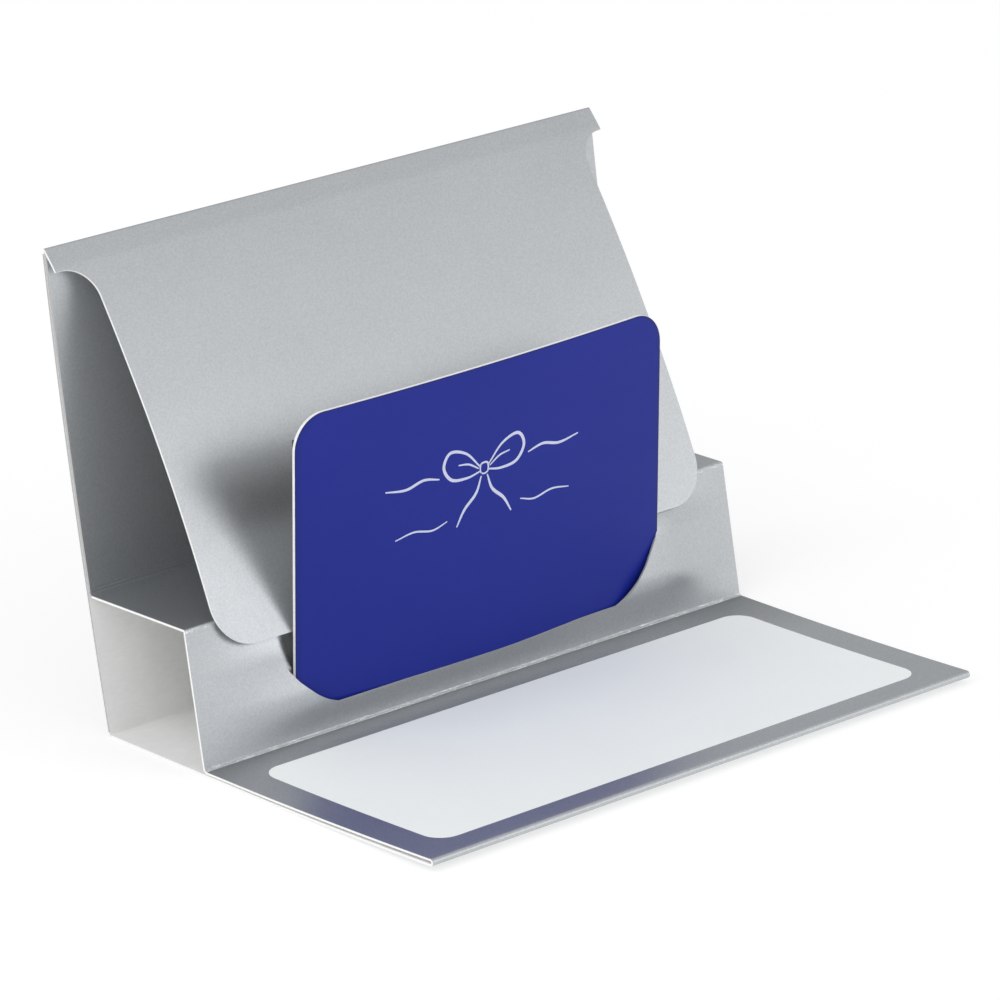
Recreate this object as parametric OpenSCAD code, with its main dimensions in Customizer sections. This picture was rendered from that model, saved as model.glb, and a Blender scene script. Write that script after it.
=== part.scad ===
// Fold-out gift card holder: one die-cut sheet of coated paperboard, folded into
// a flat base, a pop-up riser box, a leaning back panel, a narrow spine and a
// cover flap, with a plastic card standing in the slit of the riser front.
// Units are millimetres. +X is to the right, +Y to the rear, +Z up; the origin is
// the bottom centre of the bounding box.

/* [Board] */
// Thickness of the paperboard
board_t = 0.4; // [0.3:0.05:0.5]
// Width of every full-width panel
board_w = 127; // [122:0.5:140]
// Radius of the rolled bead on each crease line
bead_r = 0.25; // [0.22:0.01:0.28]
// Running clearance between a bead and the panel that folds about it
crease_gap = 0.03; // [0.02:0.01:0.05]

/* [Base] */
// Front fold axis, in front of the riser foot crease
base_front = 56.9; // [50:0.5:62]
// Rear crease axis, behind the riser foot crease
base_rear = 24.85; // [24.5:0.05:25.2]
// Outer thickness of the front fold, both layers and the gap
front_fold_t = 1.3; // [1.1:0.05:1.5]
// Width of the glue line that ties the message panel to the base
base_glue_w = 12; // [6:0.5:20]

/* [Writing panel] */
// Margin at the left and right edges
label_side = 6.5; // [5:0.5:12]
// Margin to the riser foot crease
label_rear = 6.6; // [5:0.2:10]
// Margin to the front fold axis
label_front = 5.2; // [4:0.2:10]
// Corner radius
label_r = 4.3; // [2:0.1:8]
// Thickness of the writing label
label_t = 0.1; // [0.05:0.01:0.15]

/* [Back] */
// Backward lean of the back panel in degrees
back_lean = 10.4; // [10.2:0.1:10.6]
// Length of the back panel from its crease to the top
back_len = 85.2; // [84.6:0.1:86]
// Rearward bow of the back panel at its middle
back_bow = 0.8; // [0.7:0.05:0.9]
// Height along the back panel at which the riser top is hinged
riser_len = 24.7; // [24.5:0.05:24.8]
// How far the liner stops below the top crease
liner_stop = 2.4; // [2.2:0.1:4]
// How far the liner is set in from the left and right edges
liner_side = 0.7; // [0.5:0.1:2]
// Thickness of the glue film behind the liner
glue_t = 0.1; // [0.05:0.01:0.12]

/* [Cover flap] */
// Forward offset of the spine's lower crease from its upper crease
spine_fwd = 2.87; // [2.8:0.01:2.9]
// Drop of the spine's lower crease from its upper crease
spine_drop = 3.19; // [3.1:0.01:3.25]
// Radius of the bead on the top crease
top_bead_r = 0.4; // [0.36:0.01:0.44]
// Length of the flap along its curve
flap_len = 70; // [69.5:0.1:70.4]
// Angle of the flap from vertical at its crease in degrees
flap_angle = 37.9; // [37.8:0.1:38.2]
// How much the flap straightens towards its free edge in degrees
flap_turn = 14.5; // [14.3:0.1:14.7]
// Side margin of the flap
flap_side = 6.8; // [6:0.1:10]
// Radius of the concave shoulder
shoulder_r = 5.8; // [4:0.1:6]
// Full-width strip left between the flap's crease and the shoulder
shoulder_top = 0.7; // [0.5:0.1:1.2]
// Radius of the free corners
flap_corner_r = 7.8; // [4:0.1:12]

/* [Card slit] */
// Height of the straight slit line above the riser foot crease
slit_h = 5.4; // [5.2:0.1:5.6]
// Height at which the two curved ends of the slit stop
slit_top = 21; // [20.5:0.1:21.5]
// Radius of the curved ends of the slit
slit_r = 25; // [24:0.5:26]
// Half distance between the centres of the two curved ends
slit_c = 21.8; // [21.6:0.1:22.2]
// Height of the centres of the curved ends above the crease
slit_ch = 27; // [26.5:0.1:27.5]
// Width of the gap left round the tongue
slit_gap = 0.4; // [0.3:0.05:0.6]
// How far the board in front of the card is pushed forward
bulge = 2.6; // [2.55:0.05:2.75]

/* [Gift card] */
// Card width, standard size
card_w = 85.6; // [85.4:0.1:85.8]
// Card height, standard size
card_h = 54; // [53.8:0.1:54.1]
// Card thickness, standard size
card_t = 0.76; // [0.7:0.01:0.78]
// Card corner radius
card_r = 6.2; // [3.1:0.1:7]
// Thickness of the clear printed film on each side of the core
film_t = 0.1; // [0.06:0.01:0.14]
// Forward lean of the card from vertical in degrees
card_lean = 1.1; // [1:0.05:1.2]
// How far the middle of the bowed card stands in front of its side edges
card_bow = 1.4; // [1.3:0.05:1.45]
// Sideways offset of the card from the middle
card_x = 0.8; // [0:0.1:0.9]
// Small turn of the card in its own plane in degrees
card_turn = 0.5; // [0:0.1:0.5]
// Height of the card's lower edge above the floor
card_z = 5.5; // [5.4:0.05:5.6]
// Depth of the card's side edges behind the riser foot crease, at the slit
card_y = 1.3; // [1.25:0.01:1.35]
// Width of the magnetic stripe on the card's rear
stripe_h = 12.7; // [9.5:0.1:12.7]

/* [Hidden] */

silver = [0.72, 0.74, 0.77];
white = [0.94, 0.94, 0.93];
glue_c = [0.90, 0.88, 0.80];
label_c = [0.93, 0.95, 0.94];
card_c = [0.19, 0.22, 0.58];

function dir(a) = [cos(a), sin(a)];
function unit(v) = v / norm(v);
function smooth(t) = let (c = min(1, max(0, t))) c * c * (3 - 2 * c);

// Side profile, as [rearward, upward] points
u = [sin(back_lean), cos(back_lean)];
nf = [-cos(back_lean), sin(back_lean)];
back_off = board_t / 2;
pA = [base_rear, bead_r];
pB = [0, front_fold_t - board_t - 0.15];
pA2 = pA - back_off * nf;
pK = pA2 + back_len * u;

// The back panel, the glue and the liner are arcs about one axis in front of them
back_R = (pow(back_len / 2, 2) + pow(back_bow, 2)) / (2 * back_bow);
back_c = (pA2 + pK) / 2 + (back_R - back_bow) * nf;
liner_R = back_R - board_t - glue_t;
a_low = atan2((pA2 - back_c)[1], (pA2 - back_c)[0]);
function back_angle(h) = a_low + h / back_R * 180 / PI;

pI = back_c + liner_R * [cos(back_angle(riser_len)), sin(back_angle(riser_len))];
pH = pB + (pI - pA);
pM = pK + [-spine_fwd, -spine_drop];
riser_l = norm(pH - pB);
riser_lean = atan2((pH - pB)[0], (pH - pB)[1]);

// Flap curve: an arc that straightens towards the free edge
flap_R = flap_len / (flap_turn * PI / 180);
flap_c = pM + flap_R * [cos(flap_angle), -sin(flap_angle)];
flap_end = flap_angle - flap_turn;
pT = flap_c + flap_R * [-cos(flap_end), sin(flap_end)];

// Row frame
y_front = -base_front - front_fold_t / 2;
y_rear = pK[0] + top_bead_r;
y0 = -(y_front + y_rear) / 2;

// Slope of the message panel from the front fold up or down to the crease
msg_drop = front_fold_t - (pB[1] + board_t / 2);
msg_run = base_front + pB[0];
msg_slope = atan2(msg_drop, msg_run);

// Bow of the card
card_R = (pow(card_w / 2, 2) + pow(card_bow, 2)) / (2 * card_bow);

module in_row() translate([-board_w / 2, y0, 0]) children();

// Profile drawn in the YZ plane and extruded along X
module along_x(x0, x1) translate([x0, 0, 0]) rotate([90, 0, 90]) linear_extrude(x1 - x0) children();

module strip(p, q, w) {
    d = unit(q - p);
    n = [-d[1], d[0]] * w / 2;
    polygon([p - n, q - n, q + n, p + n]);
}

module disc(p, r) translate(p) circle(r, $fn = 48);

// Band between two radii of the back panel's arc, from height h0 to height h1 along it
module back_band(r0, r1, h0, h1) {
    far = 1.2 * back_R;
    translate(back_c) intersection() {
        difference() {
            circle(r1, $fn = 2880);
            circle(r0, $fn = 2880);
        }
        polygon([[0, 0], far * dir(back_angle(h0)), far * dir(back_angle(h1))]);
    }
}

// ---------- base ----------
module base_panel() {
    color(silver) in_row() along_x(0, board_w) {
        translate([-base_front, 0]) square([base_front + pA[0], board_t]);
        disc(pA, bead_r);
    }
}

module front_fold() {
    color(silver) in_row() along_x(0, board_w) difference() {
        disc([-base_front, front_fold_t / 2], front_fold_t / 2);
        disc([-base_front, front_fold_t / 2], front_fold_t / 2 - board_t);
        translate([-base_front, -1]) square([4, 4]);
    }
}

function msg_top(y) = front_fold_t - msg_drop * (y + base_front) / msg_run;

module message_panel() {
    color(silver) in_row() along_x(0, board_w) {
        polygon([[-base_front, front_fold_t - board_t], [pB[0], msg_top(pB[0]) - board_t],
                 [pB[0], msg_top(pB[0])], [-base_front, front_fold_t]]);
        disc(pB, bead_r);
    }
}

module base_glue() {
    a = -1.2 - base_glue_w;
    b = -1.2;
    color(glue_c) in_row() along_x(3, board_w - 3)
        polygon([[a, board_t], [b, board_t], [b, msg_top(b) - board_t], [a, msg_top(a) - board_t]]);
}

module rounded(w, h, r) {
    translate([r, 0]) square([w - 2 * r, h]);
    translate([0, r]) square([w, h - 2 * r]);
    for (x = [r, w - r], y = [r, h - r]) translate([x, y]) circle(r, $fn = 64);
}

module writing_label() {
    l = (msg_run - label_rear - label_front) / cos(msg_slope);
    color(label_c) in_row() translate([label_side, -base_front + label_front, msg_top(-base_front + label_front)])
        rotate([-msg_slope, 0, 0]) linear_extrude(label_t)
            rounded(board_w - 2 * label_side, l, label_r);
}

// ---------- riser ----------
// Local frame of the riser front: x, height along the panel, forward
module riser_frame() in_row() translate([0, pB[0], pB[1]]) rotate([90 - riser_lean, 0, 0]) children();

bulge_lo = 6;
bulge_hi = 15.5;
bulge_x = 46;
function bulge_at(x, h) =
    bulge * smooth((board_w / 2 - abs(x - board_w / 2)) / (board_w / 2 - bulge_x))
          * (h < bulge_hi ? smooth((h - 0.2) / (bulge_lo - 0.2))
                          : 1 - smooth((h - bulge_hi) / (riser_l - 0.3 - bulge_hi)));

riser_h = concat([0.15, 0.6, 1.2, 2, 2.8, 3.6, 4.4, 5.2, 6], [for (i = [1:4]) 6 + i * 9.5 / 4],
                 [for (i = [1:8]) 15.5 + i * (riser_l - 15.5) / 8]);
nx = 44;
nh = len(riser_h);

// Thin board pushed forward round the slit
module bulged_board() {
    pts = concat(
        [for (j = [0:nh - 1], i = [0:nx]) let (x = board_w * i / nx, h = riser_h[j])
            [x, h, bulge_at(x, h) + board_t / 2]],
        [for (j = [0:nh - 1], i = [0:nx]) let (x = board_w * i / nx, h = riser_h[j])
            [x, h, bulge_at(x, h) - board_t / 2]]);
    n1 = nx + 1;
    m = n1 * nh;
    faces = concat(
        [for (j = [0:nh - 2], i = [0:nx - 1]) [j * n1 + i, (j + 1) * n1 + i, (j + 1) * n1 + i + 1]],
        [for (j = [0:nh - 2], i = [0:nx - 1]) [j * n1 + i, (j + 1) * n1 + i + 1, j * n1 + i + 1]],
        [for (j = [0:nh - 2], i = [0:nx - 1]) [m + j * n1 + i, m + (j + 1) * n1 + i + 1, m + (j + 1) * n1 + i]],
        [for (j = [0:nh - 2], i = [0:nx - 1]) [m + j * n1 + i, m + j * n1 + i + 1, m + (j + 1) * n1 + i + 1]],
        [for (i = [0:nx - 1]) [i, i + 1, m + i + 1, m + i]],
        [for (i = [0:nx - 1]) [(nh - 1) * n1 + i, m + (nh - 1) * n1 + i, m + (nh - 1) * n1 + i + 1, (nh - 1) * n1 + i + 1]],
        [for (j = [0:nh - 2]) [j * n1, m + j * n1, m + (j + 1) * n1, (j + 1) * n1]],
        [for (j = [0:nh - 2]) [j * n1 + nx, (j + 1) * n1 + nx, m + (j + 1) * n1 + nx, m + j * n1 + nx]]);
    polyhedron(points = pts, faces = faces, convexity = 6);
}

// Outline enclosed by the slit; g narrows it for the tongue
module slit_shape(g, top) {
    intersection() {
        translate([-60, slit_h + g]) square([120, top - slit_h - g]);
        union() {
            translate([-slit_c, 0]) square([2 * slit_c, 40]);
            for (s = [-1, 1]) translate([s * slit_c, slit_ch]) circle(slit_r - g, $fn = 180);
        }
    }
}

tongue_q = bulge_at(board_w / 2, slit_top);
tongue_back = -0.5;
tongue_tilt = atan2(tongue_q - tongue_back, slit_top - slit_h);

module riser_front() {
    color(silver) union() {
        difference() {
            riser_frame() bulged_board();
            riser_frame() translate([board_w / 2, 0, -2]) linear_extrude(8) slit_shape(0, slit_top);
            in_row() along_x(-1, board_w + 1) disc(pB, bead_r + crease_gap);
        }
        in_row() along_x(0, board_w) disc(pH, bead_r);
        // tongue behind the card, hinged along the line between the slit's ends
        riser_frame() translate([board_w / 2, slit_top, tongue_q]) rotate([tongue_tilt, 0, 0])
            translate([0, -slit_top, -board_t / 2]) linear_extrude(board_t) slit_shape(slit_gap, slit_top + 0.5);
    }
}

module riser_top() {
    color(silver) in_row() along_x(0, board_w) difference() {
        strip(pH, pI, board_t);
        disc(pH, bead_r + crease_gap);
        disc(pI, bead_r + 0.12);
    }
}

// ---------- back ----------
module back_panel() {
    color(silver) in_row() along_x(0, board_w) difference() {
        union() {
            back_band(back_R - board_t / 2, back_R + board_t / 2, 0.3, back_len);
            disc(pK, top_bead_r);
        }
        disc(pA, bead_r + crease_gap);
    }
}

module back_liner() {
    color(silver) in_row() along_x(liner_side, board_w - liner_side) {
        back_band(liner_R - board_t / 2, liner_R + board_t / 2, riser_len, back_len - liner_stop);
        disc(pI, bead_r);
    }
}

module liner_glue() {
    color(glue_c) in_row() along_x(liner_side + 2, board_w - liner_side - 2)
        back_band(liner_R + board_t / 2, liner_R + board_t / 2 + glue_t, riser_len + 1.5, back_len - liner_stop - 1.5);
}

module spine() {
    color(silver) in_row() along_x(0, board_w) {
        difference() {
            strip(pK, pM, board_t);
            disc(pK, top_bead_r + crease_gap);
            back_band(back_R - board_t / 2 - 0.1, back_R + board_t / 2 + 0.1, back_len - 20, back_len + 2);
        }
        disc(pM, bead_r);
    }
}

// ---------- cover flap ----------
flap_chord = 2 * flap_R * sin(flap_turn / 2);
flap_mid = flap_angle - flap_turn / 2;

// Outline in the chord plane: full width at the crease, concave shoulders, rounded free corners
module flap_outline() {
    s = flap_side;
    r = flap_corner_r;
    difference() {
        union() {
            translate([0, -3]) square([board_w, 3 + shoulder_top]);
            translate([s - shoulder_r, -3]) square([board_w - 2 * (s - shoulder_r), 3 + shoulder_top + shoulder_r]);
            translate([s, 0]) square([board_w - 2 * s, flap_chord - r]);
            translate([s + r, 0]) square([board_w - 2 * (s + r), flap_chord]);
            for (x = [s + r, board_w - s - r]) translate([x, flap_chord - r]) circle(r, $fn = 96);
        }
        for (x = [s - shoulder_r, board_w - s + shoulder_r])
            translate([x, shoulder_top + shoulder_r]) circle(shoulder_r, $fn = 96);
    }
}

module cover_flap() {
    far = 1.4 * flap_R;
    color(silver) in_row() intersection() {
        along_x(-1, board_w + 1) difference() {
            intersection() {
                translate(flap_c) difference() {
                    circle(flap_R + board_t / 2, $fn = 1440);
                    circle(flap_R - board_t / 2, $fn = 1440);
                }
                polygon([flap_c, flap_c + far * dir(180 - flap_angle), flap_c + far * dir(180.5 - flap_end)]);
            }
            disc(pM, bead_r + crease_gap);
        }
        translate([0, pM[0], pM[1]]) rotate([270 - flap_mid, 0, 0])
            translate([0, 0, -15]) linear_extrude(30) flap_outline();
    }
}

// ---------- gift card ----------
// Local frame of the card: x from its middle, height from its lower edge, forward
module card_frame() in_row()
    translate([board_w / 2 + card_x, card_y - (card_z - 5.2) * tan(card_lean), card_z])
        rotate([90 + card_lean, 0, 0]) translate([0, card_h / 2, 0]) rotate([0, 0, card_turn])
            translate([0, -card_h / 2, 0]) children();

// Curved layer between two depths measured from the middle of the thickness
module card_layer(a, b, inset = 0, v0 = 0, v1 = 0) {
    card_frame() intersection() {
        translate([0, 0, card_bow - card_R]) rotate([-90, 0, 0]) translate([0, 0, -1]) difference() {
            cylinder(card_h + 2, r = card_R + b, $fn = 2880);
            translate([0, 0, -1]) cylinder(card_h + 4, r = card_R + a, $fn = 2880);
        }
        if (v1 == 0)
            translate([-card_w / 2, 0, -3]) linear_extrude(8) rounded(card_w, card_h, card_r);
        else
            translate([-card_w / 2, v0, -3]) cube([card_w, v1 - v0, 8]);
    }
}

module card_core() { color(white) card_layer(-card_t / 2 + film_t, card_t / 2 - film_t); }

module card_front_film() { color(card_c) card_layer(card_t / 2 - film_t, card_t / 2); }

module card_back_film() { color(white) card_layer(-card_t / 2, -card_t / 2 + film_t); }

module magnetic_stripe() {
    color([0.08, 0.07, 0.07]) card_layer(-card_t / 2 - 0.02, -card_t / 2, 0, card_h - 4 - stripe_h, card_h - 4);
}

base_panel();
front_fold();
message_panel();
base_glue();
writing_label();
riser_front();
riser_top();
back_panel();
back_liner();
liner_glue();
spine();
cover_flap();
card_core();
card_front_film();
card_back_film();
magnetic_stripe();
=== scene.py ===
import math

import bpy
import numpy as np
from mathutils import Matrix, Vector


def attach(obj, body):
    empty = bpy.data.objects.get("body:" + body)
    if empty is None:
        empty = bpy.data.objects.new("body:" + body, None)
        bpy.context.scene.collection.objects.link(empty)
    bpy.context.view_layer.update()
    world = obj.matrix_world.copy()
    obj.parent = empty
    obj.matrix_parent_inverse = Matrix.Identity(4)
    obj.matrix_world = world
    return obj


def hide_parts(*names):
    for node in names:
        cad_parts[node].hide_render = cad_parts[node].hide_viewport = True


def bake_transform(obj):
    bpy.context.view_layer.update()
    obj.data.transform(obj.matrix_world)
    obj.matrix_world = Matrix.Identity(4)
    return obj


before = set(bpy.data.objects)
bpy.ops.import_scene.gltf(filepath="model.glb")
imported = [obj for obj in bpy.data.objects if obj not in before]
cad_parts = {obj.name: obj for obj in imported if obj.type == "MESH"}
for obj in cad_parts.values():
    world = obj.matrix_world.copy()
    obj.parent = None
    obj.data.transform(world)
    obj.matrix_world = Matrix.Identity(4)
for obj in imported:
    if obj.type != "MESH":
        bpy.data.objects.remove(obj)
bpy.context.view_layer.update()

MM = 0.001
Y0 = 8.3615          # rear shift from the riser foot crease to the row frame, mm
W = 127.0            # width of the sheet
T = 0.4              # thickness of the board

# ------------------------------------------------------------------ helpers


def vec(*a):
    return np.array(a, float)


def unit(v):
    return v / np.linalg.norm(v)


def smooth(t):
    t = np.clip(t, 0, 1)
    return t * t * (3 - 2 * t)


def hash_noise(x, seed):
    """Smooth one-dimensional value noise, the same on every run."""
    x = np.asarray(x, float)
    i = np.floor(x)
    f = x - i

    def h(n):
        v = np.sin(n * 127.1 + seed * 311.7) * 43758.5453
        return v - np.floor(v)

    u = f * f * (3 - 2 * f)
    return h(i) * (1 - u) + h(i + 1) * u - 0.5


def fillet(corners, radii, n=10):
    """Polyline through the corners with each inner corner rounded. corners are (y, z) points."""
    out = [vec(*corners[0])]
    for k in range(1, len(corners) - 1):
        p, a, b = vec(*corners[k]), vec(*corners[k - 1]), vec(*corners[k + 1])
        r = radii[k - 1]
        da, db = unit(a - p), unit(b - p)
        ang = math.acos(np.clip(da @ db, -1, 1))
        t = r / math.tan(ang / 2)
        c = p + unit(da + db) * (r / math.sin(ang / 2))
        p0, p1 = p + da * t, p + db * t
        a0 = math.atan2(*(p0 - c)[::-1])
        a1 = math.atan2(*(p1 - c)[::-1])
        d = (a1 - a0 + math.pi) % (2 * math.pi) - math.pi
        for i in range(n + 1):
            q = a0 + d * i / n
            out.append(c + r * vec(math.cos(q), math.sin(q)))
    out.append(vec(*corners[-1]))
    return np.array(out)


def line(a, b, step):
    a, b = vec(*a), vec(*b)
    n = max(1, int(math.ceil(np.linalg.norm(b - a) / step)))
    return np.array([a + (b - a) * i / n for i in range(n + 1)])


def join(*parts):
    """Joins polylines and drops doubled points."""
    out = []
    for p in parts:
        for q in np.asarray(p):
            if not out or np.linalg.norm(q - out[-1]) > 1e-4:
                out.append(q)
    return np.array(out)


def tangents(P):
    d = np.diff(P, axis=0)
    d /= np.linalg.norm(d, axis=1)[:, None]
    t = np.vstack([d[:1], d[:-1] + d[1:], d[-1:]])
    return t / np.linalg.norm(t, axis=1)[:, None]


class Blocks:
    """Collects grid blocks of mid-surface points, welds equal points and makes quads."""

    def __init__(self):
        self.key, self.V, self.F = {}, [], []

    def vid(self, p):
        k = tuple(np.round(p, 5))
        if k not in self.key:
            self.key[k] = len(self.V)
            self.V.append(p)
        return self.key[k]

    def grid(self, G, flip=False):
        """G is rows x columns x 3."""
        idx = [[self.vid(p) for p in row] for row in G]
        for j in range(len(G) - 1):
            for i in range(len(G[0]) - 1):
                q = [idx[j][i], idx[j][i + 1], idx[j + 1][i + 1], idx[j + 1][i]]
                q = [v for n, v in enumerate(q) if v not in q[:n]]
                if len(q) >= 3:
                    self.F.append(q[::-1] if flip else q)


def solid(name, blocks, top, bottom, mats, smooth_walls=False):
    """Closed thin solid from a mid-surface. The outer (coated) side is the side the quads face.
    top and bottom are offsets along the normal in mm. mats = outer, inner, edge."""
    V = np.array(blocks.V)
    F = blocks.F
    # the upper edge of the holder stands a little higher at the left
    V[:, 2] += (0.24 + 0.32 * (0.5 - V[:, 0] / W)) * smooth((V[:, 2] - 62.0) / 22.0)
    N = np.zeros_like(V)
    for f in F:
        p = V[f]
        n = np.zeros(3)
        for i in range(len(f)):
            n += np.cross(p[i] - p[0], p[(i + 1) % len(f)] - p[0])
        for v in f:
            N[v] += n
    N /= np.linalg.norm(N, axis=1)[:, None]
    k = len(V)
    verts = np.vstack([V + N * top, V + N * bottom]) * MM
    faces, mat = [], []
    edges = {}
    for f in F:
        faces.append(list(f))
        mat.append(0)
        faces.append([v + k for v in f[::-1]])
        mat.append(1)
        for i in range(len(f)):
            a, b = f[i], f[(i + 1) % len(f)]
            if (b, a) in edges:
                del edges[(b, a)]
            else:
                edges[(a, b)] = True
    wall0 = len(faces)
    for a, b in edges:
        faces.append([b, a, a + k, b + k])
        # inner cut edges (the riser's slit) take a fourth material when one is given: the edge with painted shade
        mat.append(3 if len(mats) > 3 and abs(V[a, 0]) < W / 2 - 1 else 2)
    me = bpy.data.meshes.new(name)
    me.from_pydata([tuple(v) for v in verts], [], faces)
    for m in mats:
        me.materials.append(m)
    me.polygons.foreach_set("material_index", mat)
    sm = [True] * wall0 + [smooth_walls] * (len(faces) - wall0)
    me.polygons.foreach_set("use_smooth", sm)
    me.update()
    me.set_sharp_from_angle(angle=math.radians(50))
    ob = bpy.data.objects.new(name, me)
    bpy.context.scene.collection.objects.link(ob)
    return ob


def extruded(path, side, xs, disp=None, s0=0.0):
    """Grid of points: the (y, z) path swept along x. side is +1 or -1 for the normal's side.
    xs is an array of x positions, or a function of the path length. disp(x, s) pushes along the normal."""
    path = np.asarray(path)
    t = tangents(path)
    n = np.stack([-t[:, 1], t[:, 0]], 1) * side
    s = s0 + np.concatenate([[0], np.cumsum(np.linalg.norm(np.diff(path, axis=0), axis=1))])
    G = []
    for j in range(len(path)):
        x = xs(s[j]) if callable(xs) else xs
        q = disp(x, s[j]) if disp is not None else np.zeros_like(x)
        G.append(np.stack([x, path[j, 0] + n[j, 0] * q + Y0 + 0 * x, path[j, 1] + n[j, 1] * q + 0 * x], 1))
    G = np.array(G)
    G[:, :, 0] -= W / 2
    return G


# ---------------------------------------------------------------- materials


def new_mat(name):
    m = bpy.data.materials.new(name)
    m.use_nodes = True
    nt = m.node_tree
    nt.nodes.clear()
    out = nt.nodes.new("ShaderNodeOutputMaterial")
    sh = nt.nodes.new("ShaderNodeBsdfPrincipled")
    nt.links.new(sh.outputs[0], out.inputs[0])
    co = nt.nodes.new("ShaderNodeTexCoord")
    return m, nt, sh, co.outputs["Object"]


def mapped(nt, co, scale):
    mp = nt.nodes.new("ShaderNodeMapping")
    mp.inputs["Scale"].default_value = scale
    nt.links.new(co, mp.inputs["Vector"])
    return mp.outputs[0]


def noise(nt, co, scale, detail=3.0, rough=0.55, dist=0.0):
    n = nt.nodes.new("ShaderNodeTexNoise")
    n.inputs["Scale"].default_value = scale
    n.inputs["Detail"].default_value = detail
    n.inputs["Roughness"].default_value = rough
    n.inputs["Distortion"].default_value = dist
    nt.links.new(co, n.inputs["Vector"])
    return n.outputs["Fac"]


def ramp(nt, fac, stops):
    r = nt.nodes.new("ShaderNodeValToRGB")
    el = r.color_ramp.elements
    while len(el) < len(stops):
        el.new(0.5)
    for e, (p, c) in zip(el, stops):
        e.position = p
        e.color = (*c, 1) if not np.isscalar(c) else (c, c, c, 1)
    nt.links.new(fac, r.inputs["Fac"])
    return r.outputs["Color"]


def mixc(nt, fac, a, b, mode="MIX"):
    m = nt.nodes.new("ShaderNodeMix")
    m.data_type = "RGBA"
    m.blend_type = mode
    for sock, v in ((m.inputs[0], fac), (m.inputs[6], a), (m.inputs[7], b)):
        if hasattr(v, "is_output"):
            nt.links.new(v, sock)
        elif np.isscalar(v):
            sock.default_value = v
        else:
            sock.default_value = (*v, 1)
    return m.outputs[2]


def math_node(nt, op, a, b=0.0, c=0.0, clamp=False):
    m = nt.nodes.new("ShaderNodeMath")
    m.operation = op
    m.use_clamp = clamp
    for sock, v in zip(m.inputs, (a, b, c)):
        if hasattr(v, "is_output"):
            nt.links.new(v, sock)
        else:
            sock.default_value = v
    return m.outputs[0]


def bump(nt, height, strength, distance, normal=None):
    b = nt.nodes.new("ShaderNodeBump")
    b.inputs["Strength"].default_value = strength
    b.inputs["Distance"].default_value = distance
    nt.links.new(height, b.inputs["Height"])
    if normal is not None:
        nt.links.new(normal, b.inputs["Normal"])
    return b.outputs["Normal"]


def silver_mat(name, cracked=0.0, painted_crease_shade=False):
    """Silver pearl coat: fine mica grain, faint fibre show-through and soft mottling.
    cracked adds the broken, sparkling coat of a crease. The last flag darkens the colour beside the riser crease:
    painted shade for the riser's shadow and dark reflection there."""
    m, nt, sh, co = new_mat(name)
    L = nt.links
    mottle = noise(nt, co, 60, 4, 0.6)
    grain = noise(nt, co, 2600, 2, 0.6)
    fibre = noise(nt, mapped(nt, co, (260, 900, 900)), 1.0, 3, 0.6, 0.4)
    base = ramp(nt, mottle, [(0.3, (0.510, 0.527, 0.545)), (0.7, (0.526, 0.543, 0.560))])
    flecks = ramp(nt, grain, [(0.35, 0.93), (0.65, 1.05)])
    col = mixc(nt, 1.0, base, flecks, "MULTIPLY")
    if cracked:
        crack = noise(nt, mapped(nt, co, (330, 2600, 2600)), 1.0, 5, 0.75, 1.2)
        cf = ramp(nt, crack, [(0.52, 0.0), (0.62, 1.0)])
        col = mixc(nt, math_node(nt, "MULTIPLY", cf, cracked), col, (0.93, 0.93, 0.93))
    # painted shade: the colour darkens to 0.56 at the riser foot crease and returns to full about 20 mm in front of it
    if painted_crease_shade:
        sp = nt.nodes.new("ShaderNodeSeparateXYZ")
        L.new(co, sp.inputs[0])
        away = math_node(nt, "MULTIPLY", math_node(nt, "SUBTRACT", Y0 * MM, sp.outputs[1]), 1000.0)
        crease_shade_factor = ramp(nt, math_node(nt, "DIVIDE", away, 20.0, clamp=True), [(0.0, 0.56), (0.34, 0.74), (1.0, 1.0)])
        col = mixc(nt, 1.0, col, crease_shade_factor, "MULTIPLY")
    L.new(col, sh.inputs["Base Color"])
    sh.inputs["Metallic"].default_value = 0.88
    rg = ramp(nt, noise(nt, co, 420, 4, 0.6), [(0.3, 0.385), (0.7, 0.415)])
    L.new(rg, sh.inputs["Roughness"])
    sh.inputs["Specular IOR Level"].default_value = 0.5
    h = math_node(nt, "ADD", math_node(nt, "MULTIPLY", grain, 0.6), fibre)
    nrm = bump(nt, h, 0.12 + 0.25 * cracked, 0.00006)
    if cracked:
        nrm = bump(nt, crack, 0.6, 0.00018, nrm)
    L.new(nrm, sh.inputs["Normal"])
    return m


def white_mat(name):
    """Uncoated white board: matt, faint fibres and clouding."""
    m, nt, sh, co = new_mat(name)
    L = nt.links
    cloud = noise(nt, co, 90, 4, 0.6)
    fibre = noise(nt, mapped(nt, co, (500, 1800, 1800)), 1.0, 4, 0.65, 0.6)
    base = ramp(nt, cloud, [(0.3, (0.86, 0.86, 0.85)), (0.7, (0.90, 0.90, 0.89))])
    col = mixc(nt, 1.0, base, ramp(nt, fibre, [(0.3, 0.95), (0.7, 1.0)]), "MULTIPLY")
    L.new(col, sh.inputs["Base Color"])
    L.new(ramp(nt, fibre, [(0.3, 0.78), (0.7, 0.92)]), sh.inputs["Roughness"])
    sh.inputs["Specular IOR Level"].default_value = 0.25
    L.new(bump(nt, fibre, 0.25, 0.00008), sh.inputs["Normal"])
    return m


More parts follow.
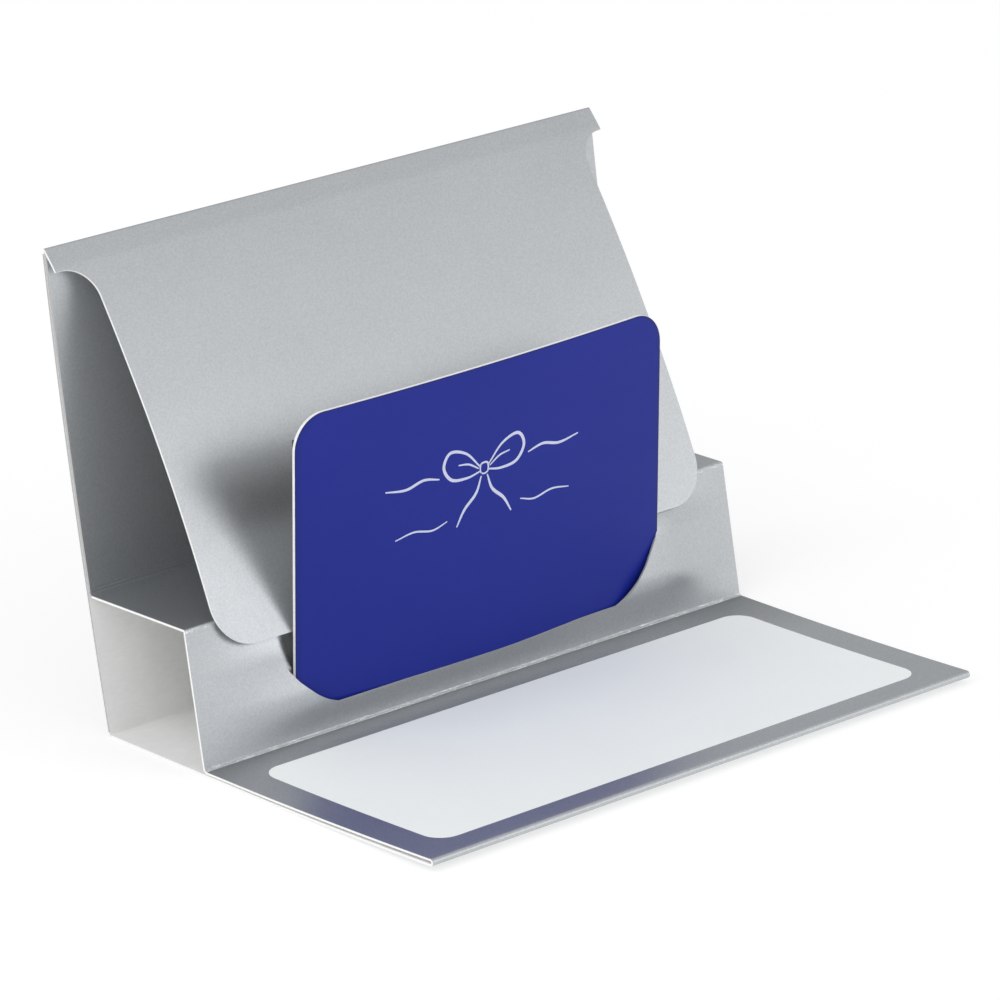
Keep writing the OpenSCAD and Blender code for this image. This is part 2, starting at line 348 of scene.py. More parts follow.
def edge_mat(name, k=1.0):
    """Die-cut edge of the board: white, slightly ragged fibre. k below 1 makes a darker copy, used as painted shade."""
    m, nt, sh, co = new_mat(name)
    L = nt.links
    f = noise(nt, co, 3200, 4, 0.7)
    L.new(ramp(nt, f, [(0.3, (0.80 * k, 0.80 * k, 0.79 * k)), (0.7, (0.93 * k, 0.93 * k, 0.92 * k))]),
          sh.inputs["Base Color"])
    sh.inputs["Roughness"].default_value = 0.9
    sh.inputs["Specular IOR Level"].default_value = 0.2
    L.new(bump(nt, f, 0.4, 0.0001), sh.inputs["Normal"])
    return m


def label_mat(name):
    """Matt off-white writing area: an even ink layer with a very fine tooth."""
    m, nt, sh, co = new_mat(name)
    L = nt.links
    cloud = noise(nt, co, 45, 3, 0.5)
    tooth = noise(nt, co, 2200, 3, 0.6)
    col = mixc(nt, 1.0, ramp(nt, cloud, [(0.3, (0.905, 0.930, 0.920)), (0.7, (0.925, 0.950, 0.940))]),
               ramp(nt, tooth, [(0.3, 0.975), (0.7, 1.0)]), "MULTIPLY")
    L.new(col, sh.inputs["Base Color"])
    L.new(ramp(nt, tooth, [(0.3, 0.62), (0.7, 0.78)]), sh.inputs["Roughness"])
    sh.inputs["Specular IOR Level"].default_value = 0.3
    L.new(bump(nt, tooth, 0.15, 0.00005), sh.inputs["Normal"])
    return m


def card_front_mat(name):
    """Blue printed film: even ink with a faint screen and mottling, a soft gloss and fine rubs. Its rolled edge is
    darkened towards near-black blue as painted shade.
    """
    m, nt, sh, co = new_mat(name)
    L = nt.links
    cloud = noise(nt, co, 22, 3, 0.5)
    screen = noise(nt, co, 5200, 2, 0.5)
    rub = noise(nt, mapped(nt, co, (60, 400, 260)), 1.0, 5, 0.7, 0.8)
    col = mixc(nt, 1.0, ramp(nt, cloud, [(0.3, (0.008, 0.018, 0.245)), (0.7, (0.010, 0.021, 0.265))]),
               ramp(nt, screen, [(0.3, 0.93), (0.7, 1.04)]), "MULTIPLY")
    at = nt.nodes.new("ShaderNodeAttribute")
    at.attribute_name = "rim_shade"
    # painted shade along the film's rolled edge
    col = mixc(nt, math_node(nt, "MULTIPLY", at.outputs["Fac"], 0.75), col, (0.012, 0.014, 0.075))
    L.new(col, sh.inputs["Base Color"])
    L.new(ramp(nt, rub, [(0.3, 0.34), (0.7, 0.46)]), sh.inputs["Roughness"])
    sh.inputs["Specular IOR Level"].default_value = 0.2
    L.new(bump(nt, screen, 0.05, 0.00003), sh.inputs["Normal"])
    return m


def card_back_mat(name):
    """White printed film on the card's rear."""
    m, nt, sh, co = new_mat(name)
    L = nt.links
    cloud = noise(nt, co, 30, 3, 0.5)
    fine = noise(nt, co, 3000, 2, 0.5)
    col = mixc(nt, 1.0, ramp(nt, cloud, [(0.3, (0.78, 0.78, 0.77)), (0.7, (0.83, 0.83, 0.82))]),
               ramp(nt, fine, [(0.3, 0.98), (0.7, 1.0)]), "MULTIPLY")
    L.new(col, sh.inputs["Base Color"])
    L.new(ramp(nt, noise(nt, co, 300, 4, 0.6), [(0.3, 0.3), (0.7, 0.42)]), sh.inputs["Roughness"])
    L.new(bump(nt, fine, 0.05, 0.00003), sh.inputs["Normal"])
    return m


def core_mat(name):
    """White card core, seen at the edge: dense plastic with faint punch lines."""
    m, nt, sh, co = new_mat(name)
    L = nt.links
    st = noise(nt, mapped(nt, co, (2500, 300, 2500)), 1.0, 3, 0.6)
    L.new(ramp(nt, st, [(0.3, (0.80, 0.80, 0.82)), (0.7, (0.90, 0.90, 0.91))]), sh.inputs["Base Color"])
    L.new(ramp(nt, st, [(0.3, 0.42), (0.7, 0.58)]), sh.inputs["Roughness"])
    L.new(bump(nt, st, 0.2, 0.00005), sh.inputs["Normal"])
    return m


def stripe_mat(name):
    """Magnetic stripe: nearly black, satin, with faint drawing lines along it."""
    m, nt, sh, co = new_mat(name)
    L = nt.links
    dr = noise(nt, mapped(nt, co, (12, 2400, 2400)), 1.0, 4, 0.6)
    L.new(ramp(nt, dr, [(0.3, (0.016, 0.013, 0.012)), (0.7, (0.032, 0.026, 0.024))]), sh.inputs["Base Color"])
    L.new(ramp(nt, dr, [(0.3, 0.34), (0.7, 0.5)]), sh.inputs["Roughness"])
    L.new(bump(nt, dr, 0.1, 0.00003), sh.inputs["Normal"])
    return m


def glue_mat(name):
    """Dried glue: milky, slightly yellow, uneven."""
    m, nt, sh, co = new_mat(name)
    L = nt.links
    f = noise(nt, co, 500, 5, 0.65, 0.8)
    L.new(ramp(nt, f, [(0.3, (0.70, 0.68, 0.60)), (0.7, (0.80, 0.78, 0.72))]), sh.inputs["Base Color"])
    L.new(ramp(nt, f, [(0.3, 0.3), (0.7, 0.5)]), sh.inputs["Roughness"])
    sh.inputs["Subsurface Weight"].default_value = 0.1
    L.new(bump(nt, f, 0.3, 0.0002), sh.inputs["Normal"])
    return m


def ink_mat(name):
    """Pale printed ink."""
    m, nt, sh, co = new_mat(name)
    L = nt.links
    f = noise(nt, co, 4200, 3, 0.6)
    L.new(ramp(nt, f, [(0.3, (0.52, 0.55, 0.72)), (0.7, (0.66, 0.69, 0.84))]), sh.inputs["Base Color"])
    L.new(ramp(nt, f, [(0.3, 0.38), (0.7, 0.5)]), sh.inputs["Roughness"])
    L.new(bump(nt, f, 0.05, 0.00002), sh.inputs["Normal"])
    return m


SILVER = silver_mat("silver_board")
CREASE = silver_mat("silver_board_crease", 0.9)
# silver for the base sheet, with painted shade beside the riser crease
SILVER_BASE_SHADED = silver_mat("silver_board_base_painted_shade", painted_crease_shade=True)
WHITE = white_mat("white_board")
EDGE = edge_mat("board_cut_edge")
# painted shade: the same white cut edge darkened to 0.52 for the back panel and liner, whose edges stand in shade
EDGE_SHADED = edge_mat("board_cut_edge_painted_shade", 0.52)
BOARD = (SILVER, WHITE, EDGE)
BOARD_SHADED_EDGE = (SILVER, WHITE, EDGE_SHADED)
# painted shade: the slit's cut edges, the same white core, darkened to 0.42 where they sit in shade
EDGE_SLIT_SHADED = edge_mat("board_slit_edge_painted_shade", 0.42)
FOLD = (CREASE, WHITE, EDGE)

# ------------------------------------------------------- side profile (mm)
# (y, z) with y = 0 at the riser foot crease

LEAN = math.radians(10.4)
BACK_LEN, BACK_BOW, RISER_H = 85.2, 0.8, 24.7
u = vec(math.sin(LEAN), math.cos(LEAN))
nf = vec(-math.cos(LEAN), math.sin(LEAN))
pA = vec(24.85, 0.25)
pB = vec(0.0, 0.75)
pA2 = pA - 0.2 * nf
pK = pA2 + BACK_LEN * u
BR = ((BACK_LEN / 2) ** 2 + BACK_BOW ** 2) / (2 * BACK_BOW)
BC = (pA2 + pK) / 2 + (BR - BACK_BOW) * nf
AL = math.atan2(*(pA2 - BC)[::-1])


def back_at(h, r=0.0):
    """Point of the back panel's mid-surface at height h, moved r forward."""
    a = AL + h / BR
    return BC + (BR - r) * vec(math.cos(a), math.sin(a))


pI = back_at(RISER_H, 0.5)
pH = pB + (pI - pA)
pM = pK + vec(-2.87, -3.19)
RL = math.atan2(*(pH - pB))
RLEN = float(np.linalg.norm(pH - pB))
rh = vec(math.sin(RL), math.cos(RL))
rq = vec(-math.cos(RL), math.sin(RL))

FRONT = -56.9
FOLD_T = 1.3
LIFT = 0.95


def lift(y):
    """The front of the base stands a little off the table."""
    return LIFT * np.clip((-12.0 - y) / (56.9 - 12.0), 0, 1.3) ** 1.8


def msg_mid(y):
    return 0.75 + 0.35 * (-y / 56.9) + lift(y)


FLAP_R = 70 / math.radians(14.5)
FA = math.radians(37.9)
FC = pM + FLAP_R * vec(math.cos(FA), -math.sin(FA))


def flap_at(s):
    a = FA - s / FLAP_R
    return FC + FLAP_R * vec(-math.cos(a), math.sin(a))


BULGE = 2.6


def bulge_at(x, h):
    x = np.asarray(x, float)
    side = smooth((63.5 - np.abs(x - 63.5)) / np.where(x < 63.5, 27.0, 20.5))
    if h < 15.5:
        v = smooth((h - 0.2) / 9.0)
    else:
        v = 1 - smooth((h - 15.5) / (RLEN - 15.8))
    ease = 0.27 * np.exp(-((x - 16.0) / 14.0) ** 2) * smooth((h - 5.0) / 10.0)
    return BULGE * side * v * (1 - ease)


# Very slight unevenness of the board along its width, the same on both sides of a seam
def wave(x, amp, seed, wl=31.0):
    return amp * hash_noise(np.asarray(x) / wl, seed) * 2


XS = np.linspace(0, W, 65)

# ---- base sheet: bottom layer, front fold, top layer -----------------------
SEAM_A, SEAM_B, SEAM_H, SEAM_K, SEAM_M = 0.55, 0.6, 0.5, 1.2, 0.6
ys = np.linspace(pA[0] - SEAM_A, FRONT, 60)
bottom = np.array([[y, 0.2 + lift(y)] for y in ys])
lf = float(lift(FRONT))
cf = vec(FRONT, lf + FOLD_T / 2)
rm = FOLD_T / 2 - T / 2
slope = float(lift(FRONT) - lift(FRONT + 0.5)) / 0.5
arc = np.array([cf + rm * vec(-math.sin(a), -math.cos(a)) for a in np.linspace(0, math.pi, 17)])
ys = np.linspace(FRONT, -SEAM_B, 60)
topl = np.array([[y, msg_mid(y)] for y in ys])
base_path = join(bottom, arc, topl)
b = Blocks()
b.grid(extruded(base_path, 1, XS), flip=False)
# the base sheet's coated side carries the painted shade beside the riser crease
base_sheet = solid("base_sheet", b, T / 2, -T / 2, (SILVER_BASE_SHADED, WHITE, EDGE))
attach(base_sheet, "base")
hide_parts("base_panel", "front_fold", "message_panel")

# ---- rear crease, two score lines close together ---------------------------
rear_path = join(fillet([[pA[0] - SEAM_A, 0.2], [24.80, 0.2], back_at(0.22), back_at(SEAM_A)],
                        [0.10, 0.10], 6))
b = Blocks()
b.grid(extruded(rear_path, -1, XS), flip=True)
rear_crease = solid("rear_crease", b, T / 2, -T / 2, FOLD)
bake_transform(rear_crease)

# ---- back panel --------------------------------------------------------------
hs = np.linspace(SEAM_A, BACK_LEN - SEAM_K, 60)
back_path = np.array([back_at(h) for h in hs])
b = Blocks()
b.grid(extruded(back_path, -1, XS), flip=True)
# back panel: its cut edges carry painted shade
back_sheet = solid("back_sheet", b, T / 2, -T / 2, BOARD_SHADED_EDGE)
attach(back_sheet, "back")
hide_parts("back_panel")

# ---- top fold ------------------------------------------------------------------
ds = unit(pM - pK)
outw = unit(u - ds)
kc = pK + 0.10 * outw
top_path = join(fillet([back_at(BACK_LEN - SEAM_K), kc, pK + ds * SEAM_K], [0.22], 10))
b = Blocks()
b.grid(extruded(top_path, -1, XS), flip=True)
top_fold = solid("top_fold", b, T / 2, -T / 2, BOARD)
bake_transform(top_fold)

# ---- spine ---------------------------------------------------------------------
SP = float(np.linalg.norm(pM - pK))
spine_path = line(pK + ds * SEAM_K, pM - ds * SEAM_M, 0.4)
b = Blocks()
b.grid(extruded(spine_path, -1, XS), flip=True)
spine_sheet = solid("spine_sheet", b, T / 2, -T / 2, BOARD)
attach(spine_sheet, "spine")
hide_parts("spine")

# ---- cover flap ----------------------------------------------------------------
FLAP_LEN, F_TOP, F_SH, F_CR = 70.0, 0.7, 5.8, 7.8


def flap_margin(s, left):
    """Side margin of the flap at path length s from its crease."""
    side = 7.1 - 1.1 * min(s / 62.0, 1.0) if left else 6.1 + 0.55 * min(s / 36.0, 1.0)
    if s <= F_TOP:
        return 0.0
    if s < F_TOP + F_SH:
        d = F_TOP + F_SH - s
        return side - F_SH + math.sqrt(max(F_SH ** 2 - d ** 2, 0))
    if s <= FLAP_LEN - F_CR:
        return side
    d = s - (FLAP_LEN - F_CR)
    return side + F_CR - math.sqrt(max(F_CR ** 2 - d ** 2, 0))


rows = [0.4, 0.55, F_TOP]
rows += [F_TOP + 0.02]
rows += [F_TOP + F_SH * (1 - math.cos(a)) for a in np.linspace(0.12, math.pi / 2, 14)]
rows += list(np.linspace(F_TOP + F_SH, FLAP_LEN - F_CR, 46)[1:])
rows += [FLAP_LEN - F_CR + F_CR * math.sin(a) for a in np.linspace(0, math.pi / 2, 18)[1:]]
SEAM_F = 0.4
flap_path = np.array([flap_at(s) for s in rows])


def score(s, at, depth, half):
    return -depth * np.exp(-((s - at) / half) ** 2)


# crease between spine and flap: a pressed score line
m_path = join(line(pM - ds * SEAM_M, pM, 0.1), np.array([flap_at(s) for s in np.linspace(0, SEAM_F, 5)]))
b = Blocks()
b.grid(extruded(m_path, -1, XS, lambda x, s: score(s, SEAM_M, 0.012, 0.2) + 0 * x), flip=True)
flap_crease = solid("flap_crease", b, T / 2, -T / 2, BOARD)
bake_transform(flap_crease)


def flap_xs(s_rows):
    out = []
    for s in s_rows:
        out.append(np.linspace(flap_margin(s, True), W - flap_margin(s, False), 65))
    return out


fx = flap_xs(rows)
t = tangents(flap_path)
nn = np.stack([t[:, 1], -t[:, 0]], 1)
G = []
for j, s in enumerate(rows):
    x = fx[j]
    # the free edge is cut a little longer at the left
    q = np.array([flap_at(s + 0.6 * (1 - a / W) * smooth((s - 40.0) / 30.0)) for a in x])
    G.append(np.stack([x - W / 2, q[:, 0] + Y0, q[:, 1]], 1))
b = Blocks()
b.grid(np.array(G), flip=True)
cover_sheet = solid("cover_sheet", b, T / 2, -T / 2, BOARD)
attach(cover_sheet, "cover_flap")
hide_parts("cover_flap")

# ---- riser ---------------------------------------------------------------------
S_H, S_TOP, END_L, END_R = 5.0, 21.0, 13.4, 18.4


def slit_reach(h, left):
    """Reach of the slit from the middle, at height h."""
    if left:
        k = ((4.7, 31.9), (5.0, 33.4), (5.5, 34.9), (6.2, 36.3), (7.3, 38.2), (8.7, 40.0), (10.5, 41.9),
             (12.7, 43.6), (14.5, 44.4), (17.0, 44.9), (22.0, 45.0))
    else:
        k = ((4.7, 31.4), (5.0, 32.5), (5.6, 33.7), (6.5, 35.0), (8.45, 37.2), (10.95, 39.6), (13.8, 41.5),
             (15.5, 42.6), (17.5, 43.6), (19.0, 44.0), (22.0, 44.4))
    hs_, es_ = zip(*k)
    return float(np.mean([np.interp(h + d, hs_, es_) for d in (-0.5, -0.25, 0.0, 0.25, 0.5)]))


def riser_pt(x, h, q):
    x = np.asarray(x, float)
    q = q + 0 * x
    # the slit's lower line rises a little to the right
    k = smooth((h - SEAM_B) / (S_H - SEAM_B)) * float(np.clip((S_TOP - h) / (S_TOP - S_H), 0, 1))
    h = h + 0.7 * k * smooth((x - 66.0) / 28.0)
    return np.stack([x - W / 2, pB[0] + rh[0] * h + rq[0] * q + Y0, pB[1] + rh[1] * h + rq[1] * q], 1)


def cols(c0, c1, n):
    return np.linspace(c0, c1, n)


def cols_dense(c0, c1, n):
    """Columns that crowd together towards both ends."""
    t_ = np.linspace(-1, 1, n)
    s_ = np.sign(t_) * (1 - (1 - np.abs(t_)) ** 1.5)
    return (c0 + c1) / 2 + (c1 - c0) / 2 * s_


def riser_row(h):
    """Column positions of a riser row: left, middle and right of the slit."""
    hh = min(max(h, S_H), S_TOP)
    el_, er_ = slit_reach(hh, True), slit_reach(hh, False)
    return cols(0, 63.5 - el_, 21), cols_dense(63.5 - el_, 63.5 + er_, 81), cols(63.5 + er_, W, 21)


def full_row(h):
    a, m, c = riser_row(h)
    return np.concatenate([a, m[1:], c[1:]])


# foot crease, between message panel and riser front
foot_path = fillet([[-SEAM_B, msg_mid(-SEAM_B)], [-0.36, pB[1] - 0.02], [-0.27, pB[1] + 0.13], [-0.02, pB[1] + 0.30],
                    pB + rh * SEAM_B], [0.05, 0.08, 0.10], 5)
fs = np.concatenate([[0], np.cumsum(np.linalg.norm(np.diff(foot_path, axis=0), axis=1))])
foot_t = tangents(foot_path)
foot_n = np.stack([-foot_t[:, 1], foot_t[:, 0]], 1)
G = []
for j in range(len(foot_path)):
    x = full_row(S_H)
    hh = float((foot_path[j] - pB) @ rh)
    q = bulge_at(x, hh) if hh > 0.2 else 0 * x
    mid = math.sin(math.pi * j / (len(foot_path) - 1))
    q = q + mid * (wave(x, 0.035, 3, 2.3) + wave(x, 0.025, 5, 1.3))
    d = rq * 1.0
    G.append(np.stack([x - W / 2, foot_path[j, 0] + d[0] * q + Y0, foot_path[j, 1] + d[1] * q], 1))
b = Blocks()
b.grid(np.array(G), flip=False)
foot_crease = solid("foot_crease", b, T / 2, -T / 2, FOLD)
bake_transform(foot_crease)

# riser front with the slit; the tongue inside it goes behind the card
h_low = list(np.linspace(SEAM_B, S_H, 9))
h_mid = list(np.linspace(S_H, S_TOP, 40))
h_top = list(np.linspace(S_TOP, RLEN - SEAM_H, 7))
b = Blocks()
b.grid(np.array([riser_pt(full_row(S_H), h, bulge_at(full_row(S_H), h)) for h in h_low]), flip=False)
b.grid(np.array([riser_pt(riser_row(h)[0], h, bulge_at(riser_row(h)[0], h)) for h in h_mid]), flip=False)
b.grid(np.array([riser_pt(riser_row(h)[2], h, bulge_at(riser_row(h)[2], h)) for h in h_mid]), flip=False)
b.grid(np.array([riser_pt(full_row(S_TOP), h, bulge_at(full_row(S_TOP), h)) for h in h_top]), flip=False)
TQ = float(bulge_at(63.5, S_TOP))
TB = -0.5
tilt = (TQ - TB) / (S_TOP - S_H)


def tongue_row(h):
    el_ = slit_reach(h, True) - 0.3 * float(np.clip((END_L - h) / 1.5, 0, 1))
    er_ = slit_reach(h, False) - 0.3 * float(np.clip((END_R - h) / 1.5, 0, 1))
    return cols_dense(63.5 - el_, 63.5 + er_, 81)


def tongue_q(x, h):
    q = bulge_at(x, S_TOP) - tilt * (S_TOP - h) * smooth(1.0 * bulge_at(x, S_TOP) / TQ + 0.35)
    # above the ends of the slit the tongue is one with the board
    kl = smooth((h - END_L + 1.5) / 1.5)
    kr = smooth((h - END_R + 1.5) / 1.5)
    w = kl * (1 - smooth((x - x[0]) / 2.6)) + kr * (1 - smooth((x[-1] - x) / 2.6))
    return q + (bulge_at(x, h) - q) * w


th = h_mid[::-1][:-2] + [S_H + 0.3]
b.grid(np.array([riser_pt(tongue_row(h), h, tongue_q(tongue_row(h), h)) for h in th]), flip=True)
riser_sheet = solid("riser_sheet", b, T / 2, -T / 2, (SILVER, WHITE, EDGE, EDGE_SLIT_SHADED))
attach(riser_sheet, "riser_front")
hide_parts("riser_front")

# top front edge of the riser
dr = unit(pI - pH)
edge_path = fillet([pH - rh * SEAM_H, pH, pH + dr * SEAM_H], [0.22], 8)
G = []
for j in range(len(edge_path)):
    x = full_row(S_TOP)
    hh = float((edge_path[j] - pB) @ rh)
    q = bulge_at(x, min(hh, RLEN - 0.3)) if j < len(edge_path) // 2 else 0 * x
    G.append(np.stack([x - W / 2, edge_path[j, 0] + rq[0] * q + Y0, edge_path[j, 1] + rq[1] * q], 1))
b = Blocks()
b.grid(np.array(G), flip=False)
riser_edge = solid("riser_edge", b, T / 2, -T / 2, FOLD)
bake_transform(riser_edge)

# riser top
roof_path = line(pH + dr * SEAM_H, pI - dr * 0.42, 1.5)
b = Blocks()
b.grid(extruded(roof_path, 1, XS), flip=False)
roof_sheet = solid("roof_sheet", b, T / 2, -T / 2, BOARD)
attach(roof_sheet, "riser_top")
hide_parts("riser_top")

# liner, with the crease that joins it to the riser top
li = [pI - dr * 0.40, pI, back_at(RISER_H + 1.5, 0.5)]
liner_path = join(fillet(li, [0.22], 10)[:-1],
                  np.array([back_at(h, 0.5) for h in np.linspace(RISER_H + 0.3, RISER_H + 1.9, 28)]),
                  np.array([back_at(h, 0.5) for h in np.linspace(RISER_H + 1.9, BACK_LEN - 2.4, 44)]))
XL = np.linspace(0.12, W - 0.12, 65)
b = Blocks()
b.grid(extruded(liner_path, 1, XL, lambda x, s: score(s, 0.95, 0.16, 0.14) + score(s, 1.45, 0.08, 0.14) + 0 * x), flip=False)
# liner: its cut edges carry painted shade
liner_sheet = solid("liner_sheet", b, T / 2, -T / 2, BOARD_SHADED_EDGE)
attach(liner_sheet, "back")
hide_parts("back_liner")

# ---- writing label --------------------------------------------------------------
LS, LF, LR_, LC = 6.6, 4.9, 6.5, 4.0
y_a, y_b = FRONT + LF, -LR_
nrow = [y_a + LC * (1 - math.cos(a)) for a in np.linspace(0, math.pi / 2, 14)]
nrow += list(np.linspace(y_a + LC, y_b - LC, 36)[1:])
nrow += [y_b - LC + LC * math.sin(a) for a in np.linspace(0, math.pi / 2, 14)[1:]]


def label_margin(y):
    d = max(y_a + LC - y, y - (y_b - LC), 0)
    return LS + LC - math.sqrt(max(LC ** 2 - d ** 2, 0))


G = []
for y in nrow:
    m = label_margin(y)
    x = np.linspace(m, W - m, 49)
    G.append(np.stack([x - W / 2, y + Y0 + 0 * x, msg_mid(y) + T / 2 + 0 * x], 1))
b = Blocks()
b.grid(np.array(G))
LABEL = label_mat("writing_ink")
label = solid("label_sheet", b, 0.014, -0.02, (LABEL, LABEL, LABEL))
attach(label, "base")
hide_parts("writing_label")

# ---- gift card ------------------------------------------------------------------
CW, CH, CT, CR, CBOW = 85.6, 54.0, 0.76, 6.2, 1.4
CZ, CY, CXO, CLEAN, CTURN = 5.5, 1.3, 0.50, math.radians(1.1), math.radians(0.5)
CRAD = ((CW / 2) ** 2 + CBOW ** 2) / (2 * CBOW)
cup = vec(math.cos(math.pi / 2 + CLEAN), math.sin(math.pi / 2 + CLEAN))
cfw = vec(-math.sin(math.pi / 2 + CLEAN), math.cos(math.pi / 2 + CLEAN))
corg = vec(63.5 + CXO, CY - (CZ - 5.2) * math.tan(CLEAN), CZ)


def card_pt(a, v, w):
    """Row-frame point of card coordinates: a from the middle, v from the lower edge, w forward of the side edges."""
    a, v, w = np.broadcast_arrays(np.asarray(a, float), np.asarray(v, float), np.asarray(w, float))
    ca, sa = math.cos(CTURN), math.sin(CTURN)
    x = a * ca - (v - CH / 2) * sa
    y = a * sa + (v - CH / 2) * ca + CH / 2
    return np.stack([x + corg[0] - W / 2, corg[1] + y * cup[0] + w * cfw[0] + Y0, corg[2] + y * cup[1] + w * cfw[1]], -1)


def card_w(a):
    return CBOW - CRAD + np.sqrt(CRAD ** 2 - np.asarray(a, float) ** 2)


def card_rows(inset):
    r = CR - inset
    v = [inset + r * (1 - math.cos(q)) for q in np.linspace(0, math.pi / 2, 16)]
    v += list(np.linspace(inset + r, CH - inset - r, 24)[1:])
    v += [CH - inset - r + r * math.sin(q) for q in np.linspace(0, math.pi / 2, 16)[1:]]
    return v


def card_half(v, inset):
    r = CR - inset
    d = max(inset + r - v, v - (CH - inset - r), 0)
    return CW / 2 - inset - r + math.sqrt(max(r ** 2 - d ** 2, 0))


def card_grid(inset, off, n=61):
    G = []
    for v in card_rows(inset):
        e = card_half(v, inset)
        a = np.linspace(-e, e, n)
        G.append(card_pt(a, v, card_w(a) + off))
    return np.array(G)


CORE, CFRONT, CBACK, STRIPE, INK = (core_mat("card_core_white"), card_front_mat("card_front_blue"),
                                    card_back_mat("card_back_white"), stripe_mat("magnetic_stripe_black"),
                                    ink_mat("card_ink_pale"))
b = Blocks()
b.grid(card_grid(0, 0))
core = solid("card_core_sheet", b, CT / 2 - 0.1, -CT / 2 + 0.1, (CORE, CORE, CORE), True)
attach(core, "gift_card")
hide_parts("card_core")


def film(name, sign, mats, inset):
    """Printed film whose edge rolls down to the core. The rolled edge's vertices carry a weight for painted shade,
    which the front film's colour reads.
    """
    k0, k1 = CT / 2 - 0.1, CT / 2
    rings = [(0.02, k0), (0.02, k0 + 0.05), (0.07, k1 - 0.015), (inset, k1)]
    V, F, rim_shade = [], [], []
    n = 61
    rows_n = len(card_rows(0))

    def outline(ins):
        pts = []
        vs = card_rows(ins)
        for v in vs:
            pts.append((-card_half(v, ins), v))
        e = card_half(vs[-1], ins)
        for a in np.linspace(-e, e, n)[1:-1]:
            pts.append((a, vs[-1]))
        for v in vs[::-1]:
            pts.append((card_half(v, ins), v))
        e = card_half(vs[0], ins)
        for a in np.linspace(e, -e, n)[1:-1]:
            pts.append((a, vs[0]))
        return pts

    first = None
    for ins, off in rings:
        pts = outline(ins)
        for a, v in pts:
            V.append(card_pt(a, v, card_w(a) + sign * off))
            # painted-shade weight: full on the rolled edge, 0.35 on the last ring
            rim_shade.append(1.0 if ins < inset else 0.35)
    m = len(outline(0.02))
    for k in range(len(rings) - 1):
        for i in range(m):
            j = (i + 1) % m
            q = [k * m + i, k * m + j, (k + 1) * m + j, (k + 1) * m + i]
            F.append(q if sign < 0 else q[::-1])
    # face inside the last ring
    G = []
    vs = card_rows(inset)
    ids = []
    base = len(V)
    ring0 = (len(rings) - 1) * m
    for r, v in enumerate(vs):
        e = card_half(v, inset)
        row = []
        for c, a in enumerate(np.linspace(-e, e, n)):
            if c == 0:
                row.append(ring0 + r)
            elif r == rows_n - 1 and c < n - 1:
                row.append(ring0 + rows_n + c - 1)
            elif c == n - 1:
                row.append(ring0 + rows_n + (n - 2) + (rows_n - 1 - r))
            elif r == 0:
                row.append(ring0 + 2 * rows_n + (n - 2) + (n - 2 - c))
            else:
                row.append(len(V))
                V.append(card_pt(a, v, card_w(a) + sign * k1))
                rim_shade.append(0.0)
        ids.append(row)
    for r in range(rows_n - 1):
        for c in range(n - 1):
            q = [ids[r][c], ids[r][c + 1], ids[r + 1][c + 1], ids[r + 1][c]]
            F.append(q if sign > 0 else q[::-1])
    # underside, on the core
    low = []
    for r, v in enumerate(card_rows(0.02)):
        e = card_half(v, 0.02)
        row = []
        for c, a in enumerate(np.linspace(-e, e, n)):
            if c == 0:
                row.append(r)
            elif r == rows_n - 1 and c < n - 1:
                row.append(rows_n + c - 1)
            elif c == n - 1:
                row.append(rows_n + (n - 2) + (rows_n - 1 - r))
            elif r == 0:
                row.append(2 * rows_n + (n - 2) + (n - 2 - c))
            else:
                row.append(len(V))
                V.append(card_pt(a, v, card_w(a) + sign * k0))
                rim_shade.append(0.0)
        low.append(row)
    for r in range(rows_n - 1):
        for c in range(n - 1):
            q = [low[r][c], low[r][c + 1], low[r + 1][c + 1], low[r + 1][c]]
            F.append(q if sign < 0 else q[::-1])
    me = bpy.data.meshes.new(name)
    me.from_pydata([tuple(p) for p in np.array(V) * MM], [], F)
    for mt in mats:
        me.materials.append(mt)
    me.polygons.foreach_set("use_smooth", [True] * len(F))
    at = me.attributes.new("rim_shade", "FLOAT", "POINT")
    at.data.foreach_set("value", rim_shade)
    me.update()
    me.set_sharp_from_angle(angle=math.radians(50))
    ob = bpy.data.objects.new(name, me)
    bpy.context.scene.collection.objects.link(ob)
    return ob


front = film("card_front_sheet", 1, (CFRONT,), 0.26)
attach(front, "gift_card")
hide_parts("card_front_film")
rear = film("card_back_sheet", -1, (CBACK,), 0.15)
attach(rear, "gift_card")
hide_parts("card_back_film")

b = Blocks()
G = []
for v in np.linspace(CH - 4 - 12.7, CH - 4, 9):
    a = np.linspace(-CW / 2 + 0.05, CW / 2 - 0.05, 61)
    G.append(card_pt(a, v, card_w(a) - CT / 2 - 0.01))
b.grid(np.array(G), flip=True)
stripe = solid("stripe_sheet", b, 0.012, -0.012, (STRIPE, STRIPE, STRIPE))
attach(stripe, "gift_card")
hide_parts("magnetic_stripe")

# pale printed ribbon and bow
def curve(pts, n=40):
    """Smooth open curve through control points (Catmull-Rom)."""
    P_ = [vec(*q) for q in pts]
    P_ = [2 * P_[0] - P_[1]] + P_ + [2 * P_[-1] - P_[-2]]
    out_ = []
    for i in range(1, len(P_) - 2):
        for t_ in np.linspace(0, 1, n, endpoint=i == len(P_) - 3):
            a_, b_, c_, d_ = P_[i - 1:i + 3]
            out_.append(0.5 * (2 * b_ + (c_ - a_) * t_ + (2 * a_ - 5 * b_ + 4 * c_ - d_) * t_ ** 2
                               + (3 * b_ - a_ - 3 * c_ + d_) * t_ ** 3))
    return np.array(out_)


